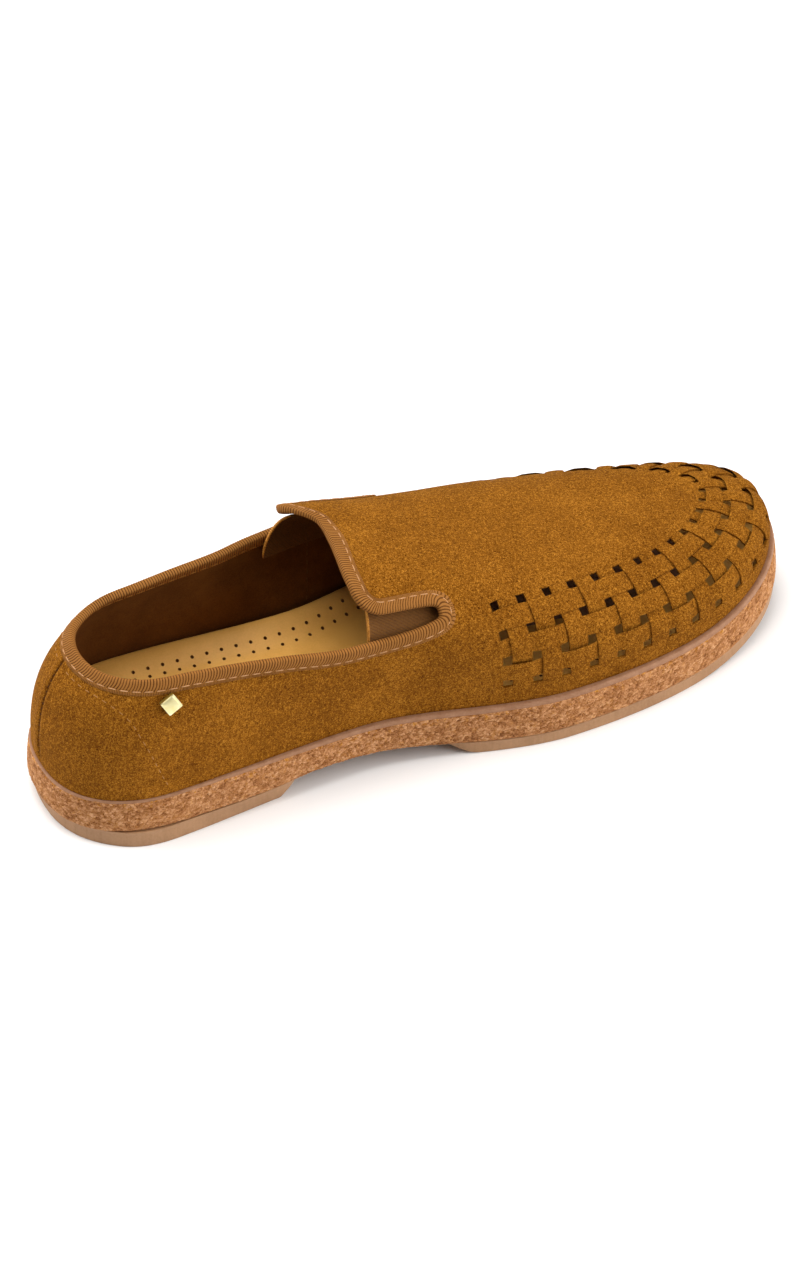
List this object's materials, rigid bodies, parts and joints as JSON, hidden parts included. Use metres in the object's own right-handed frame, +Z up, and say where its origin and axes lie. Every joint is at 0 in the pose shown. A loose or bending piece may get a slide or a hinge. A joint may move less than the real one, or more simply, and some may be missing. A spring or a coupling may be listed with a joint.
{
  "type": "woven suede loafer",
  "caption": "Right slip-on loafer with a hollow suede upper, woven forefoot, bound collar and tongue, elastic gores, cupped insole and a banded rubber sole with a heel.",
  "frame": {"origin": "under the middle of the shoe's bounding box, on the floor plane of the heel and forefoot", "axes": "+X towards the toe, +Y towards the big-toe side, +Z up"},
  "size_m": [0.29, 0.0942, 0.082],
  "materials": {
    "suede": "napped suede",
    "grosgrain": "ribbed ribbon",
    "elastic": "ribbed elastic",
    "insole_leather": "smooth satin leather",
    "band_rubber": "moulded rope texture",
    "gum_rubber": "smooth matt",
    "polished_brass": "polished"
  },
  "bodies": {
    "root": {"outsole": "gum_rubber", "midsole": "band_rubber", "insole": "insole_leather", "upper": "suede", "topline_binding": "grosgrain", "gore_lateral": "elastic", "gore_medial": "elastic", "badge": "polished_brass", "badge_clutch": "polished_brass"}
  },
  "joints": []
}
